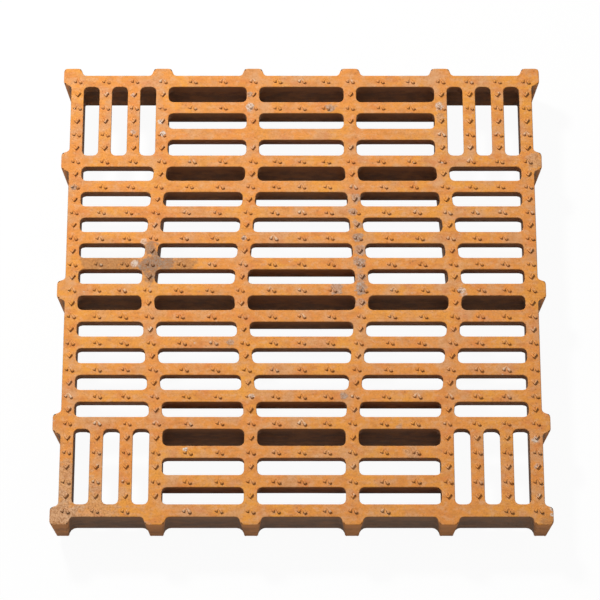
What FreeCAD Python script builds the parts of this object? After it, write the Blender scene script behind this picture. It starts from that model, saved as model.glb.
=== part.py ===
import FreeCAD, Part
import Sketcher
import math
import os
import re

# A square drain grate, cast in one piece. It lies on its ribs: the origin is on the floor below its
# middle, +Z is up, +X runs along the cross bars and +Y along the long bars. Sizes are in millimetres.

DIMENSIONS = {
    "mid_pitch": 35.0,  # between cross bars, in the bowed middle of the grate
    "end_pitch": 37.25,  # between cross bars, in the straight zone at each end
    "corner_pitch": 36.25,  # between the upright bars of a corner
    "cross_bar": 16.2,  # width of a cross bar at the top face
    "long_bar": 16.5,  # width of a long bar or an edge bar at the top face
    "inner_bar_x": 62.0,  # centre line of an inner long bar, in the end zones
    "bow": 14.5,  # how far the long bars stand outwards at the middle bar
    "slot_radius": 6.0,
    "slot_draft": 5.0,  # the bars narrow downwards by this angle on each side
    "outer_draft": 4.0,
    "rib_draft": 1.2,
    "deck_depth": 17.0,  # depth of a plain bar
    "medium_depth": 30.0,  # depth of the stiffer cross bars beside the ribs
    "skirt_depth": 63.5,
    "rib_depth": 76.2,
    "skirt_wall": 14.5,  # thickness of the skirt where it meets the deck
    "rib_root": 10.0,  # the ribs grow out of the bars at this depth
    "rib_width": 14.2,
    "rib_end_run": 60.0,  # length of the slope at the end of a rib
    "lug_reach": 10.0,
    "lug_tip": 22.0,
    "lug_base": 29.0,
    "lug_radius": 5.0,  # of a lug's corners, and of the hollow beside its foot
}
MID_ROWS = 5  # slot rows from the middle bar to the end of the bowed zone
END_ROWS = 3  # slot rows of an end zone, and upright slots of a corner
FLATS = 3  # short flats that make up a rounded corner
LEVEL = 0.01  # a face this near to a plane or a direction counts as on it

# Places, as formulas of the dimensions
WAIST = f"({MID_ROWS} * mid_pitch)"  # half length of the bowed zone
EDGE = f"({WAIST} + {END_ROWS} * end_pitch)"  # centre line of an edge bar
BODY = f"({EDGE} + long_bar / 2)"  # half side of the grate without its lugs
REACH = f"({BODY} + lug_reach)"  # half side over the lugs
INNER = "inner_bar_x"
OUTER = f"({EDGE} - {END_ROWS} * corner_pitch)"
HALF_LONG = "long_bar / 2"
HALF_CROSS = "cross_bar / 2"
HALF_RIB = "rib_width / 2"
RIB_END = f"({BODY} - skirt_wall / 2)"  # ribs end inside the skirt's wall
SKIRT_LIFT = "(rib_depth - skirt_depth)"  # height of the skirt's lower edge above the floor

doc = FreeCAD.newDocument("drain_grate")
sheet = doc.addObject("Spreadsheet::Sheet", "sizes")
for row, (alias, value) in enumerate(DIMENSIONS.items(), start=1):
    sheet.set(f"A{row}", alias)
    sheet.set(f"B{row}", str(value))
    sheet.setAlias(f"B{row}", alias)
doc.recompute()

body = doc.addObject("PartDesign::Body", "drain_grate")
origin = {feature.Role: feature for feature in body.Origin.OriginFeatures}


def linked(formula):
    """The formula with each dimension's name pointing at its cell."""
    return re.sub(r"[a-z_]+", lambda word: "sizes." + word.group(), formula)


def bar_y(index):
    """Centre line of a cross bar, counted outwards from the middle bar."""
    mid_rows = min(index, MID_ROWS)
    return f"({mid_rows} * mid_pitch + {index - mid_rows} * end_pitch)"


def half_bar(index):
    """Half width of that bar: the outermost is an edge bar."""
    return HALF_LONG if index == MID_ROWS + END_ROWS else HALF_CROSS


def bowed(base, y):
    """Centre line of a long bar at a height y within the bowed zone."""
    return f"({base} + bow * (1 - ({y}) / {WAIST}))"


def level_sketch(name, depth):
    """A sketch on a level plane, at a depth below the top face."""
    sketch = body.newObject("Sketcher::SketchObject", name)
    sketch.AttachmentSupport = (origin["XY_Plane"], [""])
    sketch.MapMode = "FlatFace"
    sketch.setExpression("AttachmentOffset.Base.z", linked(f"rib_depth - {depth}"))
    return sketch


def corner_points(sketch, corners):
    """The corners' present places."""
    values = [[sketch.evalExpression(linked(formula)) for formula in corner[:2]] for corner in corners]
    return [FreeCAD.Vector(x, y, 0) for x, y in values]


def rounded(sketch, corners):
    """An outline's corners, anticlockwise, with each one that has a radius swapped for the points of a
    faceted arc."""
    points = corner_points(sketch, corners)
    up = FreeCAD.Vector(0, 0, 1)
    result = []
    for index, (x, y, *radius) in enumerate(corners):
        if not radius:
            result.append((x, y))
            continue
        back = (points[index - 1] - points[index]).normalize()
        ahead = (points[(index + 1) % len(points)] - points[index]).normalize()
        half_angle = back.getAngle(ahead) / 2
        centre = (back + ahead).normalize() * (1 / math.sin(half_angle))
        spoke = back * (1 / math.tan(half_angle)) - centre
        turn = math.copysign(180 - math.degrees(2 * half_angle), ahead.cross(back).z)
        for step in range(FLATS + 1):
            shift = centre + FreeCAD.Rotation(up, turn * step / FLATS).multVec(spoke)
            result.append((f"{x} {shift.x:+.6f} * {radius[0]}", f"{y} {shift.y:+.6f} * {radius[0]}"))
    return result


def outline(sketch, corners):
    """A closed outline of straight lines, each corner held by its two formulas."""
    points = corner_points(sketch, corners)
    following = points[1:] + points[:1]
    lines = [sketch.addGeometry(Part.LineSegment(*ends)) for ends in zip(points, following)]
    rules = [Sketcher.Constraint("Coincident", line, 2, after, 1)
             for line, after in zip(lines, lines[1:] + lines[:1])]
    formulas = [None] * len(rules)
    for line, corner, point in zip(lines, corners, points):
        for formula, kind, axis, value in zip(corner, ("DistanceX", "DistanceY"), (-2, -1), point):
            on_axis = formula == "0"
            place = ("PointOnObject", line, 1, axis) if on_axis else (kind, -1, 1, line, 1, value)
            rules.append(Sketcher.Constraint(*place))
            formulas.append(None if on_axis else formula)
    first = sketch.ConstraintCount
    sketch.addConstraint(rules)
    for index, formula in enumerate(formulas, start=first):
        if formula:
            sketch.setExpression(f"Constraints[{index}]", linked(formula))


def grow(kind, name, sketch, length, taper=None):
    """A pad or a pocket that runs down from its sketch, wider below by a taper angle."""
    feature = body.newObject(kind, name)
    feature.Profile = sketch
    feature.Reversed = kind == "PartDesign::Pad"
    feature.setExpression("Length", linked(length))
    if taper:
        feature.setExpression("TaperAngle", linked(taper))
    doc.recompute()
    return feature


def in_row(name, feature, axis, pitch, count):
    """Repeats a feature along an axis."""
    row = body.newObject("PartDesign::LinearPattern", name)
    row.Originals = [feature]
    row.Direction = (origin[axis], [""])
    row.Occurrences = count
    row.setExpression("Length", linked(f"{count - 1} * {pitch}"))
    body.Tip = row
    doc.recompute()


def draft(name, angle):
    """Slopes the upright faces of the quarter, apart from those it is mirrored at, so that they keep
    their place at the top and give way below it."""
    base = body.Tip
    walls, top = [], []
    for index, face in enumerate(base.Shape.Faces, start=1):
        middle, normal = face.CenterOfMass, face.normalAt(0, 0)
        if abs(normal.z) < LEVEL and min(middle.x, middle.y) > LEVEL:
            walls.append(f"Face{index}")
        elif normal.z > 1 - LEVEL and middle.z > sheet.rib_depth - LEVEL:
            top.append(f"Face{index}")
    feature = body.newObject("PartDesign::Draft", name)
    feature.Base = (base, walls)
    feature.NeutralPlane = (base, top)
    feature.Reversed = True
    feature.setExpression("Angle", linked(angle))
    doc.recompute()
    if feature.Shape.Volume >= base.Shape.Volume:
        raise RuntimeError(f"{name} leans the wrong way")


def rim():
    """A quarter of the block that the deck and the skirt are left of. Lugs stand around it, one at the end
    of each rib and one at the corner."""
    half_tip, half_base = "lug_tip / 2", "lug_base / 2"
    arm = f"({REACH} - lug_tip)"
    foot = f"({arm} + {half_tip} - {half_base})"
    lugs = [(REACH, half_tip), (BODY, half_base)]
    lugs += [(BODY, f"{WAIST} - {half_base}"), (REACH, f"{WAIST} - {half_tip}")]
    lugs += [(REACH, f"{WAIST} + {half_tip}"), (BODY, f"{WAIST} + {half_base}")]
    lugs += [(BODY, foot), (REACH, arm), (REACH, REACH), (arm, REACH), (foot, BODY)]
    for x in (OUTER, INNER):
        lugs += [(f"{x} + {half_base}", BODY), (f"{x} + {half_tip}", REACH)]
        lugs += [(f"{x} - {half_tip}", REACH), (f"{x} - {half_base}", BODY)]
    round_lugs = [(*corner, "lug_radius") for corner in lugs]
    sketch = level_sketch("rim_outline", "0")
    outline(sketch, rounded(sketch, [("0", "0"), (REACH, "0"), *round_lugs, ("0", BODY)]))
    grow("PartDesign::Pad", "rim", sketch, "skirt_depth")
    draft("rim_draft", "outer_draft")


def hollow():
    """The space under the deck, which leaves the skirt standing around it."""
    sketch = level_sketch("hollow_outline", "deck_depth")
    side = f"({BODY} - skirt_wall)"
    outline(sketch, [(f"-{side}", f"-{side}"), (side, f"-{side}"), (side, side), (f"-{side}", side)])
    grow("PartDesign::Pocket", "hollow", sketch, "skirt_depth - deck_depth", "rib_draft")


def slots():
    """Rows of slots between the bars. Three columns run the whole length of the grate, and the side
    columns have upright slots in their corners."""

    def row_edges(row):
        return f"{bar_y(row)} + {half_bar(row)}", f"{bar_y(row + 1)} - {half_bar(row + 1)}"

    def straight(base, side):
        return lambda y: f"{base} {side} {HALF_LONG}"

    def slanted(base, side):
        return lambda y: f"{bowed(base, y)} {side} {HALF_LONG}"

    def past_middle(y):
        return "-2 * slot_radius"

    def cut(name, rows, left, right):
        sketch = level_sketch(f"{name}_outlines", "0")
        for near, far in rows:
            corners = [(left(near), near), (right(near), near), (right(far), far), (left(far), far)]
            outline(sketch, rounded(sketch, [(*corner, "slot_radius") for corner in corners]))
        return grow("PartDesign::Pocket", name, sketch, "deck_depth + 1")

    mid_rows = [row_edges(row) for row in range(MID_ROWS)]
    cut("middle_slots", mid_rows, past_middle, slanted(INNER, "-"))
    cut("second_slots", mid_rows, slanted(INNER, "+"), slanted(OUTER, "-"))
    cut("side_slots", mid_rows, slanted(OUTER, "+"), straight(EDGE, "-"))

    end_rows = [row_edges(row) for row in range(MID_ROWS, MID_ROWS + END_ROWS)]
    cut("middle_end_slots", end_rows, past_middle, straight(INNER, "-"))
    cut("second_end_slots", end_rows, straight(INNER, "+"), straight(OUTER, "-"))

    corner_rows = [(f"{WAIST} + {HALF_CROSS}", f"{EDGE} - {HALF_LONG}")]
    corner = cut("corner_slot", corner_rows, straight(OUTER, "+"), straight(f"{OUTER} + corner_pitch", "-"))
    in_row("corner_slots", corner, "X_Axis", "corner_pitch", END_ROWS)
    draft("bar_draft", "slot_draft")


def ribs():
    """Deep ribs under the long bars and two cross bars, and stiffer cross bars between them. They run a
    little past the middle planes, where the quarter is trimmed."""

    def cross_rib(sketch, y, end):
        low, high = f"{y} - {HALF_RIB}", f"{y} + {HALF_RIB}"
        outline(sketch, [(f"-{HALF_RIB}", low), (end, low), (end, high), (f"-{HALF_RIB}", high)])

    long_ribs = level_sketch("long_rib_outlines", "rib_root")
    for base in (INNER, OUTER):
        line = [(base, f"-{WAIST}"), (f"{base} + bow", "0"), (base, WAIST), (base, RIB_END)]
        outward = [(f"{x} + {HALF_RIB}", y) for x, y in line]
        inward = [(f"{x} - {HALF_RIB}", y) for x, y in reversed(line)]
        outline(long_ribs, outward + inward)
    grow("PartDesign::Pad", "long_ribs", long_ribs, "rib_depth - rib_root", "-rib_draft")

    cross_ribs = level_sketch("cross_rib_outlines", "rib_root")
    cross_rib(cross_ribs, bar_y(0), RIB_END)
    cross_rib(cross_ribs, bar_y(MID_ROWS), OUTER)
    grow("PartDesign::Pad", "cross_ribs", cross_ribs, "rib_depth - rib_root", "-rib_draft")

    stiff_bars = level_sketch("stiff_bar_outlines", "rib_root")
    cross_rib(stiff_bars, bar_y(1), f"({INNER} + bow)")
    cross_rib(stiff_bars, bar_y(MID_ROWS - 1), OUTER)
    cross_rib(stiff_bars, bar_y(MID_ROWS + END_ROWS - 1), OUTER)
    grow("PartDesign::Pad", "stiff_bars", stiff_bars, "medium_depth - rib_root", "-rib_draft")


def rib_ends():
    """Slopes that lift the ends of the ribs from the floor to the lower edge of the skirt."""
    overrun = 0.1
    low_end = f"({RIB_END} - {1 + overrun} * rib_end_run)"
    below = f"-{overrun} * {SKIRT_LIFT}"
    for plane in ("XZ_Plane", "YZ_Plane"):
        side = plane[:2].lower()
        sketch = body.newObject("Sketcher::SketchObject", f"rib_end_outline_{side}")
        sketch.AttachmentSupport = (origin[plane], [""])
        sketch.MapMode = "FlatFace"
        outline(sketch, [(low_end, below), (REACH, below), (REACH, SKIRT_LIFT), (RIB_END, SKIRT_LIFT)])
        cut = body.newObject("PartDesign::Pocket", f"rib_ends_{side}")
        cut.Profile = sketch
        cut.SideType = "Symmetric"
        cut.setExpression("Length", linked(f"2 * {REACH}"))
        doc.recompute()


def trimmed():
    """Cuts the quarter off at the two middle planes."""
    sketch = level_sketch("trim_outline", "0")
    past = f"-{REACH}"
    outline(sketch, [(past, past), (REACH, past), (REACH, "0"), ("0", "0"), ("0", REACH), (past, REACH)])
    grow("PartDesign::Pocket", "trimmed", sketch, "rib_depth")


def mirrored():
    """The other three quarters."""
    for plane in ("YZ_Plane", "XZ_Plane"):
        flip = body.newObject("PartDesign::Mirrored", f"mirrored_{plane[:2].lower()}")
        flip.TransformMode = "Whole shape"
        flip.Refine = False  # the top face stays in four, each with a quarter of the slots
        flip.MirrorPlane = (origin[plane], [""])
        body.Tip = flip
        doc.recompute()


for stage in (rim, hollow, slots, ribs, rib_ends, trimmed, mirrored):
    stage()

for item in doc.Objects:
    if "Invalid" in item.State or "Error" in item.State:
        raise RuntimeError(f"{item.Name} failed: {item.State}")
casting = body.Shape
if casting.isNull() or not casting.isValid() or len(casting.Solids) != 1:
    raise RuntimeError("the casting isn't one valid solid")

os.makedirs("parts", exist_ok=True)
casting.exportStep(f"parts/{body.Label}.step")
print(f"{body.Label}: {casting.Volume / 1e6:.3f} litres, {len(casting.Faces)} faces, {casting.BoundBox}")
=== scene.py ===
import math
import bmesh
import bpy
import numpy as np
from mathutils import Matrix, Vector


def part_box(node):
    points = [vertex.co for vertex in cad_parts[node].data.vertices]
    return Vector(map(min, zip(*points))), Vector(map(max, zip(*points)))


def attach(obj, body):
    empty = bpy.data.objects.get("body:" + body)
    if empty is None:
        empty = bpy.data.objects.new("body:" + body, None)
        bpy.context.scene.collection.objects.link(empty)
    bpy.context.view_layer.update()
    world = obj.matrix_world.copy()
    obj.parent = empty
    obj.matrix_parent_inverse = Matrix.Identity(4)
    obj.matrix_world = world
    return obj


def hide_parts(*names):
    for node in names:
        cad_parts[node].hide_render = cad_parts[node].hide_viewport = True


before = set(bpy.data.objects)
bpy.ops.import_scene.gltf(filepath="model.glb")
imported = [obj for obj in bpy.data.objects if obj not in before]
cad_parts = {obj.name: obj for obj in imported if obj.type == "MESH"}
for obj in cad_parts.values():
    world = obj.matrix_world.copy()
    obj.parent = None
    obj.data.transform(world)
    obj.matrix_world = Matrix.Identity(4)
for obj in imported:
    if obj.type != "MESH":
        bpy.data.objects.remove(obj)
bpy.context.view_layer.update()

mm = 0.001  # sizes below are millimetres, Blender's are metres
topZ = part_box("drain_grate")[1].z  # the walking face
print("frame loaded, walking face at", round(topZ / mm, 1), "mm")


def hexToLinear(hexColour):
    # each channel of an sRGB colour, undone to linear light
    srgb = np.array([int(hexColour[i:i + 2], 16) for i in (1, 3, 5)]) / 255
    linear = np.where(srgb <= 0.04045, srgb / 12.92, ((srgb + 0.055) / 1.055) ** 2.4)
    return (*(float(c) for c in linear), 1.0)


def addNode(tree, kind, inputs=(), settings={}):
    # inputs come in order, or by name or number: constants are set on the socket, other nodes' outputs are
    # linked to it. It gives the new node's outputs.
    new = tree.nodes.new("ShaderNode" + kind)
    for name, value in settings.items():
        setattr(new, name, value)
    for name, value in inputs.items() if isinstance(inputs, dict) else enumerate(inputs):
        if isinstance(value, bpy.types.NodeSocket):
            tree.links.new(value, new.inputs[name])
        else:
            new.inputs[name].default_value = value
    return new.outputs


# settings that several nodes share
smooth, rgba = {"interpolation_type": "SMOOTHSTEP"}, {"data_type": "RGBA"}
plus, times, timesPlus, larger, apart, unsigned = (
    {"operation": name} for name in ("ADD", "MULTIPLY", "MULTIPLY_ADD", "MAXIMUM", "DISTANCE", "ABSOLUTE"))

# A name that ends in Noise says from where to where a noise counts, and one in Share how much it then does.
rust = {
    "walkingOrange": "#E29246",
    "underScale": "#A06C42", "scaleNoise": (0.42, 0.58), "scaleShare": 0.75,  # brown where scale is broken
    "pitBrown": "#9A6030", "pitSpacing": 6.5, "pitEdge": (0.26, 0.1),  # mm, and a hole's rim as a share
    "driftNoise": (0.52, 0.64), "driftShare": 0.5,  # where holes gather
    "crestPale": "#E8CDAE", "crestRise": (0.2, 0.8), "crestShare": 0.8,  # mm above the walking face
    "wornNoise": (0.55, 0.66), "wornShare": 0.8,  # where crests are rubbed
    "wallBrown": "#A87041", "wallDark": "#755031", "wallFade": 24.0,  # at the edge, and mm below it
    "flakeNoise": (0.82, 1.22), "flakeDarken": (1.0, 0.2), "fineFlakes": 0.5,  # flakes stay brown
    "skirtShadeGrey": "#4E4238", "skirtFrom": (286.0, 288.0), "skirtShadeShare": 0.5,  # mm out from the middle; painted shade: a dark grey on the skirt's outer faces
    "lugLitOrange": "#C07C42", "lugFrom": (297.0, 300.0), "lugLitFade": (-0.6, 1.0),  # painted light: a lighter orange on the lugs, less further down
    "levelFrom": (0.3, 0.85),  # how far a face looks up, from a wall to the walking face
    "bumpDepth": 0.35, "bumpStrength": 0.7,
    "pitRelief": -0.9, "blotchRelief": 1.3, "siltRelief": 2.5,  # against that of the sand grain
    "roughness": (0.72, 0.94), "roughNoise": (0.3, 0.7), "specular": 0.3,
}
# what the rust's colour does across the walking face: blotch size in mm and its stretch along x, where the
# noise starts and ends, how strong, colour
rustZones = {
    "yellowZone": (75.0, 1, 0.40, 0.66, 0.9, "#E69C40"),
    "tanZone": (30.0, 1, 0.45, 0.68, 0.85, "#D29C6E"),
    "redZone": (14.0, 1.6, 0.48, 0.70, 0.6, "#D27E48"),
    "paleMottle": (6.5, 1.3, 0.46, 0.68, 0.6, "#DFA97A"),
    "brownMottle": (9.0, 1.5, 0.50, 0.72, 0.55, "#C77F40"),
}
# the finer ones lie on the silt too. Sand grain is about 0.3 mm, drawn coarser so that it shows.
rustGrain = {
    "rainStreak": (2.6, 18, 0.48, 0.74, 0.45, "#C9843F"),
    "sandGrain": (2.0, 1, 0.46, 0.72, 0.5, "#B87236"),
}
rustCloud = {"Scale": 1.0, "Detail": 4.0, "Roughness": 0.6}  # the noise of every layer
# what lies on the walking face, by its tint: x, y and reach of a spot in mm, and how dense it is
silt = {
    "brownWash": ("#B08050", [
        (-262, 35, 30, 0.6), (-240, 35, 32, 0.65), (-218, 35, 30, 0.65), (-150, 35, 34, 0.6),
        (300, -302, 22, 0.5),
    ]),
    "dampSilt": ("#937E6C", [
        (-187, 36, 30, 0.9), (-189, 18, 20, 0.8), (-189, 54, 18, 0.7), (-168, 36, 22, 0.75),
    ]),
    "greySilt": ("#AEA296", [
        (72, 36, 13, 0.8), (74, 0, 15, 0.85), (71, 70, 11, 0.8), (68, 122, 11, 0.6), (70, 88, 13, 0.6),
        (73, 53, 13, 0.6), (75, 18, 15, 0.65), (72, -18, 12, 0.5), (-88, -70, 8, 0.6), (45, 2, 14, 0.6),
        (66, 105, 10, 0.6), (52, -140, 8, 0.8), (38, 249, 11, 0.7), (-66, 268, 8, 0.7),
        (-287, 137, 8, 0.7), (120, -181, 10, 0.4),
    ]),
    "paleScale": ("#E3D8CA", [
        (-209, 35, 9, 0.65), (-198, 64, 8, 0.45), (-72, 69, 7, 0.7), (200, -2, 12, 0.7),
        (-62, -140, 7, 0.7), (-66, 251, 9, 0.8), (-180, 230, 7, 0.9), (-177, 213, 7, 0.9),
        (-215, 268, 7, 0.7), (-215, 214, 7, 0.7), (-142, -210, 6, 1.0), (286, -196, 8, 0.8),
        (286, -231, 7, 0.7), (303, -285, 5, 0.9), (303, -292, 5, 0.9), (176, 251, 9, 0.7),
    ]),
    "tanDust": ("#D3A881", [
        (134, -215, 18, 0.45), (178, 237, 13, 0.6), (298, 176, 24, 0.6), (-298, -298, 60, 0.8),
        (-288, -250, 62, 0.5), (-250, -290, 60, 0.4),
    ]),
}
siltEdge = {
    "rise": (-0.5, 0.9),  # from a spot's reach to its middle
    "ragged": (1.6, -0.6),  # how far the mottle breaks that up, and what is then taken off
    "limits": (1.0, 1.45),  # where the sum of both starts to show, and where it covers
}


def laidOver(tree, place, colour, layers):
    # one noise after another over a colour, each with its own shade where it is high
    noise = {}
    for number, (name, layer) in enumerate(layers.items()):
        size, stretch, low, high, strength, shade = layer
        scale = (1 / (size * stretch * mm), 1 / (size * mm), 1 / (size * mm))
        shift = (3.7 * number, 7.1, 1.3)  # so that no layer repeats another
        at = addNode(tree, "Mapping", {"Vector": place, "Location": shift, "Scale": scale})[0]
        noise[name] = addNode(tree, "TexNoise", {"Vector": at, **rustCloud})[0]
        amount = addNode(tree, "MapRange", [noise[name], low, high, 0.0, strength], smooth)[0]
        colour = addNode(tree, "Mix", {0: amount, 6: colour, 7: hexToLinear(shade)}, rgba)[2]
    return colour, noise


def rustedCastIron():
    # Sand-cast grey iron left out in the weather: a matt, open-grained skin of orange rust where feet and
    # rain reach it, and brown on the walls below, darker further down.
    material = bpy.data.materials.new("rustedCastIron")
    material.use_nodes = True
    tree = material.node_tree
    tree.nodes.clear()
    place = addNode(tree, "TexCoord")["Object"]
    height = addNode(tree, "SeparateXYZ", [place])["Z"]
    normal = addNode(tree, "NewGeometry")["Normal"]
    upward = addNode(tree, "SeparateXYZ", [normal])["Z"]
    tint = {name: hexToLinear(value) for name, value in rust.items() if isinstance(value, str)}
    colour, zone = laidOver(tree, place, tint["walkingOrange"], rustZones)

    # silt and scale: soft spots, broken up by the mottle
    ragged = addNode(tree, "Math", [zone["paleMottle"], zone["redZone"]], plus)[0]
    ragged = addNode(tree, "Math", [ragged, *siltEdge["ragged"]], timesPlus)[0]
    crust = 0.0
    spots = [(shade, *spot) for shade, group in silt.values() for spot in group]
    for shade, x, y, reach, dense in spots:
        away = addNode(tree, "VectorMath", [place, (x * mm, y * mm, topZ)], apart)["Value"]
        near = addNode(tree, "MapRange", [away, reach * mm, 0.0, *siltEdge["rise"]])[0]
        both = addNode(tree, "Math", [near, ragged], plus)[0]
        amount = addNode(tree, "MapRange", [both, *siltEdge["limits"], 0.0, dense], smooth)[0]
        colour = addNode(tree, "Mix", {0: amount, 6: colour, 7: hexToLinear(shade)}, rgba)[2]
        crust = addNode(tree, "Math", [amount, crust], larger)[0]
    colour, grain = laidOver(tree, place, colour, rustGrain)
    limits = [grain["sandGrain"], *rust["scaleNoise"], 0.0, rust["scaleShare"]]
    broken = addNode(tree, "MapRange", limits, smooth)[0]
    broken = addNode(tree, "Math", [broken, crust], times)[0]
    colour = addNode(tree, "Mix", {0: broken, 6: colour, 7: tint["underScale"]}, rgba)[2]

    # blow holes of the casting, in drifts, and more of them where scale breaks off
    holes = addNode(tree, "TexVoronoi", {"Vector": place, "Scale": 1 / (rust["pitSpacing"] * mm)})
    dot = addNode(tree, "MapRange", [holes["Distance"], *rust["pitEdge"], 0.0, 1.0], smooth)[0]
    limits = [zone["redZone"], *rust["driftNoise"], 0.0, rust["driftShare"]]
    drift = addNode(tree, "MapRange", limits, smooth)[0]
    drift = addNode(tree, "Math", [crust, drift], larger)[0]
    pits = addNode(tree, "Math", [dot, drift], times)[0]
    colour = addNode(tree, "Mix", {0: pits, 6: colour, 7: tint["pitBrown"]}, rgba)[2]

    # crests of some studs, rubbed pale by feet
    low, high = (topZ + rise * mm for rise in rust["crestRise"])
    crest = addNode(tree, "MapRange", [height, low, high, 0.0, rust["crestShare"]], smooth)[0]
    limits = [zone["tanZone"], *rust["wornNoise"], 0.0, rust["wornShare"]]
    worn = addNode(tree, "MapRange", limits, smooth)[0]
    rubbed = addNode(tree, "Math", [crest, worn], times)[0]
    colour = addNode(tree, "Mix", {0: rubbed, 6: colour, 7: tint["crestPale"]}, rgba)[2]

    # the walls: brown just under the edge, darker further down, flaking in patches
    deep = addNode(tree, "MapRange", [height, topZ, topZ - rust["wallFade"] * mm, 0.0, 1.0], smooth)[0]
    flaked = addNode(tree, "Math", [grain["sandGrain"], rust["fineFlakes"], zone["redZone"]], timesPlus)[0]
    flaked = addNode(tree, "Math", [zone["brownMottle"], rust["fineFlakes"], flaked], timesPlus)[0]
    flaked = addNode(tree, "MapRange", [flaked, *rust["flakeNoise"], *rust["flakeDarken"]], smooth)[0]
    deepDark = addNode(tree, "Math", [deep, flaked], times)[0]
    wall = addNode(tree, "Mix", {0: deepDark, 6: tint["wallBrown"], 7: tint["wallDark"]}, rgba)[2]
    # painted shade: the skirt's outer faces are painted a dark grey, greyer than the walls of the slots.
    # Painted light: the lugs on them are painted a lighter orange, less further down.
    sides = addNode(tree, "VectorMath", [place], unsigned)[0]
    sides = addNode(tree, "SeparateXYZ", [sides])
    out = addNode(tree, "Math", [sides["X"], sides["Y"]], larger)[0]
    skirtFrom, lugFrom = ([limit * mm for limit in rust[name]] for name in ("skirtFrom", "lugFrom"))
    shaded = addNode(tree, "MapRange", [out, *lugFrom, rust["skirtShadeShare"], 0.0])[0]
    shaded = addNode(tree, "MapRange", [out, *skirtFrom, 0.0, shaded])[0]
    wall = addNode(tree, "Mix", {0: shaded, 6: wall, 7: tint["skirtShadeGrey"]}, rgba)[2]
    # painted light: the lugs get a lighter orange, fading where the walls darken further down
    orange = addNode(tree, "Math", [deepDark, *rust["lugLitFade"]], timesPlus)[0]
    lugLit = addNode(tree, "MapRange", [out, *lugFrom, 0.0, orange])[0]
    wall = addNode(tree, "Mix", {0: lugLit, 6: wall, 7: tint["lugLitOrange"]}, rgba)[2]
    level = addNode(tree, "MapRange", [upward, *rust["levelFrom"], 0.0, 1.0], smooth)[0]
    colour = addNode(tree, "Mix", {0: level, 6: wall, 7: colour}, rgba)[2]

    # relief: sand grain, blow holes, and rust and silt that stand up where they are thick
    relief = addNode(tree, "Math", [pits, rust["pitRelief"], grain["sandGrain"]], timesPlus)[0]
    relief = addNode(tree, "Math", [zone["redZone"], rust["blotchRelief"], relief], timesPlus)[0]
    flakes = addNode(tree, "Math", [crust, zone["paleMottle"]], times)[0]
    relief = addNode(tree, "Math", [flakes, rust["siltRelief"], relief], timesPlus)[0]
    bumps = {"Strength": rust["bumpStrength"], "Distance": rust["bumpDepth"] * mm, "Height": relief}
    bump = addNode(tree, "Bump", bumps)[0]
    dull = addNode(tree, "MapRange", [grain["sandGrain"], *rust["roughNoise"], *rust["roughness"]])[0]
    surface = {"Base Color": colour, "Roughness": dull, "Normal": bump,
               "Specular IOR Level": rust["specular"]}
    shader = addNode(tree, "BsdfPrincipled", surface)[0]
    addNode(tree, "OutputMaterial", [shader])
    return material


ironSkin = rustedCastIron()
print("rusted cast iron ready, nodes:", len(ironSkin.node_tree.nodes))


def addPiece(name, mesh):
    piece = bpy.data.objects.new(name, mesh)
    bpy.context.scene.collection.objects.link(piece)
    mesh.materials.clear()
    mesh.materials.append(ironSkin)
    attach(piece, "root")
    return piece


casting = {
    "weld": 0.01,  # corners of the CAD's triangles this near, in mm, are one
    "edgeRadius": 1.3, "edgeSteps": 2, "edgeAngle": 35,  # mm, rings of faces, degrees
    "ledges": (9.0, 20.0),  # mm down, where the ribs grow out of the bars: small steps there stay sharp
    "flatness": 100,  # how far broad faces lead the shading at their edges, from 50 to 100
}


def softEdgedCasting():
    # the CAD skin with its triangles joined, and every edge rounded as sand leaves it
    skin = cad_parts["drain_grate"].data.copy()
    skin.name = "castGrate"
    work = bmesh.new()
    work.from_mesh(skin)
    bmesh.ops.remove_doubles(work, verts=work.verts, dist=casting["weld"] * mm)
    weight = work.edges.layers.float.new("bevel_weight_edge")
    high, low = (topZ - depth * mm for depth in casting["ledges"])
    for edge in work.edges:
        onLedge = all(low < end.co.z < high for end in edge.verts)
        edge[weight] = edge.calc_face_angle(0) > math.radians(casting["edgeAngle"]) and not onLedge
    work.to_mesh(skin)
    work.free()
    skin.shade_smooth()
    grate = addPiece("castGrate", skin)
    edges = grate.modifiers.new("castEdges", "BEVEL")
    edges.width = casting["edgeRadius"] * mm
    edges.segments = casting["edgeSteps"]
    edges.limit_method = "WEIGHT"
    edges.use_clamp_overlap = False
    shading = grate.modifiers.new("flatFaces", "WEIGHTED_NORMAL")
    shading.weight = casting["flatness"]
    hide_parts("drain_grate")
    return grate


grate = softEdgedCasting()
print("casting skin:", len(grate.data.polygons), "faces before its rounded edges")

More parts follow.
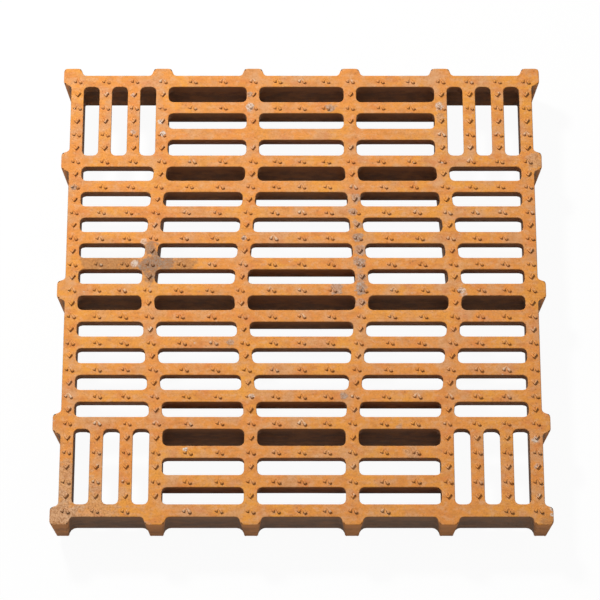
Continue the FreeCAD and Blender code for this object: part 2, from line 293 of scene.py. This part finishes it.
# Where the bars run, as in the CAD: counted from the middle, in millimetres
barLayout = {
    "middlePitch": 35.0, "middleRows": 5,  # rows of slots from the middle bar to where the bow ends
    "endPitch": 37.25, "endRows": 3,  # and on from there to the edge bar
    "cornerPitch": 36.25,  # upright slots of a corner, as many as there are end rows
    "innerX": 62.0,  # long bars next to the middle, in the straight ends
    "bow": 14.5,  # the long bars stand out by this at the middle bar
}
bowEnd = barLayout["middleRows"] * barLayout["middlePitch"]  # the long bars are straight from here
studs = {
    "legWidth": 3.6, "height": 3.2,  # mm
    # width and length in mm, where the left foot ends, and the height along the path, in shares
    "across": (13.4, 9.0, -0.8, (0.9, 0.2, 0.12, 0.2, 1)),
    "upright": (8.8, 6.0, -1, (0.95, 0.95, 0.85, 0.2, 0.1)),
    "knob": 0.12, "footHeight": 0.1,  # a foot swells this far before its end, and is so high there
    "widths": (0.8, 1.25, 0.9, 0.9, 0.9, 1.25, 0.8),  # along the path, in shares of the leg's width
    "bend": (0.56, 0.02),  # where the path's point stands, and how round it is
    "section": [(-1, 0), (-0.68, 0.9), (0, 1), (0.68, 0.9), (1, 0)],  # across and up, in shares
    "sunk": 0.4,  # a stud's foot goes into the face by this
    "betweenSide": 2, "betweenMiddle": 3,  # studs on a cross bar between two long bars
    "uneven": 0.3, "sizes": (0.93, 1.07), "seed": 11,  # mm that a stud is off its place, and its size
    # bare stretches: a cross bar's number from the middle, near ones below 0, and from and to along it
    "bare": [(6, -172, 172), (-8, -190, -166), (-8, 132, 232)],
}


def barPlaces():
    # y of the cross bars from the middle to the far edge, and x of the bars from the outer long one to the
    # right edge. The grate is square, so both end at the same place.
    rows = np.arange(barLayout["endRows"] + 1)
    middleY = np.arange(barLayout["middleRows"]) * barLayout["middlePitch"]
    crossY = np.concatenate([middleY, bowEnd + rows * barLayout["endPitch"]])
    return crossY, crossY[-1] - rows[::-1] * barLayout["cornerPitch"]


def longBarX(y, straightX):
    # a long bar's centre line: straight in the ends, and out to a blunt point at the middle
    fromMiddle = np.minimum(np.abs(y), bowEnd) / bowEnd
    return straightX + barLayout["bow"] * (1 - fromMiddle)


def studShape(width, length, leftFoot, rises):
    # A ridge carried along a path. The path is an angle, y = length * (point - sqrt(u^2 + roundness)), so
    # its point is rounded. The ridge is an arch across it, low at the point or on one leg, and its feet are
    # blunt knobs.
    u = np.array([leftFoot, leftFoot + studs["knob"], leftFoot / 2, 0, 1 / 2, 1 - studs["knob"], 1])
    foot = studs["footHeight"]
    rise = studs["height"] * np.array([rises[0] * foot, *rises, rises[-1] * foot])
    half = studs["legWidth"] / 2 * np.array(studs["widths"])
    point, roundness = studs["bend"]
    pathX = u * (width - studs["legWidth"]) / 2
    pathY = length * (point - np.sqrt(u ** 2 + roundness))
    slope = np.stack([np.gradient(pathX), np.gradient(pathY)])
    slope = slope / np.hypot(*slope)
    v, arch = np.array(studs["section"]).T
    x = pathX[:, None] - slope[1][:, None] * half[:, None] * v
    y = pathY[:, None] + slope[0][:, None] * half[:, None] * v
    z = rise[:, None] * arch - studs["sunk"] * (arch == 0)
    return np.stack([x, y, z], -1).reshape(-1, 3), len(u), len(v)


def studFaces(along, across):
    # a tube's quads, from one station to the next and all the way round, and a cap at each foot
    i, j = np.meshgrid(np.arange(along - 1), np.arange(across), indexing="ij")
    k = (j + 1) % across
    quads = np.stack([i * across + j, (i + 1) * across + j, (i + 1) * across + k, i * across + k], -1)
    ring = np.arange(across)
    return quads.reshape(-1, 4), np.stack([ring, ring[::-1] + across * (along - 1)])


def studPlaces():
    # on each cross bar one over every long bar and some between; on each long bar one beside every slot
    farY, (outerX, *cornerX, edgeX) = barPlaces()
    barY = np.concatenate([-farY[:0:-1], farY])
    across = []
    for number, y in enumerate(barY, 1 - len(farY)):
        stops = np.array([0, barLayout["innerX"], outerX, edgeX])
        stops[1:3] = longBarX(y, stops[1:3])
        x = np.concatenate([np.linspace(-stops[1], stops[1], studs["betweenMiddle"] + 2)[1:-1]]
                           + [side * np.linspace(a, b, studs["betweenSide"] + 1, endpoint=False)
                              for side in (-1, 1) for a, b in zip(stops[1:3], stops[2:])]
                           + [[-stops[3], stops[3]]])
        for bareBar, start, end in studs["bare"]:
            x = x[(number != bareBar) | (x < start) | (x > end)]
        across.append(np.stack([x, np.full(len(x), y)], -1))
    rowY = (barY[1:] + barY[:-1]) / 2
    endY = rowY[np.abs(rowY) > bowEnd]
    upright = [(longBarX(rowY, x), rowY) for x in (barLayout["innerX"], outerX)]
    upright.append((np.full(len(rowY), edgeX), rowY))
    upright += [(np.full(len(endY), x), endY) for x in cornerX]
    upright = np.concatenate([np.stack([side * x, y], -1) for x, y in upright for side in (-1, 1)])
    return np.concatenate(across), upright


def studField():
    across, upright = studPlaces()
    rng = np.random.default_rng(studs["seed"])
    sets = []
    kinds = ((across, "across", 1), (upright, "upright", -1))  # those on long bars point the other way
    for places, kind, turn in kinds:
        points, along, around = studShape(*studs[kind])
        places = places + rng.uniform(-1, 1, places.shape) * studs["uneven"]
        size = rng.uniform(*studs["sizes"], (len(places), 1, 1)) * np.array([turn, turn, 1])
        sets.append(points[None] * size + np.c_[places, np.full(len(places), topZ / mm)][:, None])
    every = np.concatenate(sets) * mm
    quads, caps = studFaces(along, around)
    shift = np.arange(len(every))[:, None, None] * every.shape[1]
    faces = (quads + shift).reshape(-1, 4).tolist() + (caps + shift).reshape(-1, around).tolist()
    mesh = bpy.data.meshes.new("gripStuds")
    mesh.from_pydata(every.reshape(-1, 3).tolist(), [], faces)
    mesh.shade_smooth()
    print("studs:", len(across), "across and", len(upright), "upright")
    addPiece("gripStuds", mesh)


studField()

floor = {
    "half": 6.0, "colour": "#F4F3F1",  # metres
    "ownWhite": 0.95,  # the share that stays white in shade
}
pureWhite = {"Color": (1, 1, 1, 1), "Strength": 1.0}


def paleFloor():
    mesh = bpy.data.meshes.new("paleFloor")
    side = np.array([[-1, -1], [1, -1], [1, 1], [-1, 1]]) * floor["half"]
    mesh.from_pydata(np.c_[side, np.zeros(4)].tolist(), [], [(0, 1, 2, 3)])
    ground = bpy.data.objects.new("paleFloor", mesh)
    bpy.context.scene.collection.objects.link(ground)
    # painted board: white where it is looked at, with a share of plain shade, so the grate's shadow stays
    material = bpy.data.materials.new("paintedBoard")
    material.use_nodes = True
    tree = material.node_tree
    tree.nodes.clear()
    ray = addNode(tree, "LightPath")
    seen = addNode(tree, "Math", [ray["Is Camera Ray"], ray["Is Glossy Ray"]], larger)[0]
    seen = addNode(tree, "Math", [seen, ray["Is Transmission Ray"]], larger)[0]
    share = addNode(tree, "Math", [seen, floor["ownWhite"]], times)[0]
    paint = addNode(tree, "BsdfDiffuse", {"Color": hexToLinear(floor["colour"])})[0]
    white = addNode(tree, "Emission", pureWhite)[0]
    mix = addNode(tree, "MixShader", [share, paint, white])[0]
    addNode(tree, "OutputMaterial", [mix])
    mesh.materials.append(material)


paleFloor()

light = {
    "sky": 0.27,  # even light from all round
    # places and sizes in metres, power in watts; the key is behind on the left, above
    "keyFrom": (-0.86, 1.02, 2.0), "keySize": 0.35, "keyPower": 50.0,
    "fillFrom": (1.6, -0.3, 2.4), "fillSize": 1.6, "fillPower": 5.0,
}


def studioLight():
    for name in ("key", "fill"):
        lamp = bpy.data.lights.new(name, "AREA")
        lamp.shape = "DISK"
        lamp.size = light[name + "Size"]
        lamp.energy = light[name + "Power"]
        stand = bpy.data.objects.new(name, lamp)
        stand.location = light[name + "From"]
        stand.rotation_euler = (-Vector(light[name + "From"])).to_track_quat("-Z", "Y").to_euler()
        stand.visible_camera = False
        bpy.context.scene.collection.objects.link(stand)
    world = bpy.data.worlds.new("softSky")
    world.use_nodes = True
    tree = world.node_tree
    tree.nodes.clear()
    ray = addNode(tree, "LightPath")["Is Camera Ray"]
    even = addNode(tree, "Background", {**pureWhite, "Strength": light["sky"]})[0]
    white = addNode(tree, "Background", pureWhite)[0]
    mix = addNode(tree, "MixShader", [ray, even, white])[0]
    addNode(tree, "OutputWorld", [mix])
    bpy.context.scene.world = world


studioLight()

view = {
    "elevation": 69.0, "distance": 3500.0,  # degrees, mm
    "aim": (-1.9, -14.0),  # point of the walking face in the middle of the picture, in mm
    "focalLength": 2812.0, "picture": 600.0,  # both in pixels
    "sensor": 36.0,  # mm
}


def photoCamera():
    lens = bpy.data.cameras.new("photoCamera")
    lens.sensor_width = view["sensor"]
    lens.lens = view["focalLength"] / view["picture"] * view["sensor"]
    eye = bpy.data.objects.new("photoCamera", lens)
    up = math.radians(view["elevation"])
    aim = Vector((view["aim"][0] * mm, view["aim"][1] * mm, topZ))
    away = Vector((0, -math.cos(up), math.sin(up)))
    eye.location = aim + away * view["distance"] * mm
    eye.rotation_euler = (-away).to_track_quat("-Z", "Y").to_euler()
    bpy.context.scene.collection.objects.link(eye)
    bpy.context.scene.camera = eye


photoCamera()
bpy.context.scene.view_settings.view_transform = "Standard"
print("floor, light and camera ready")
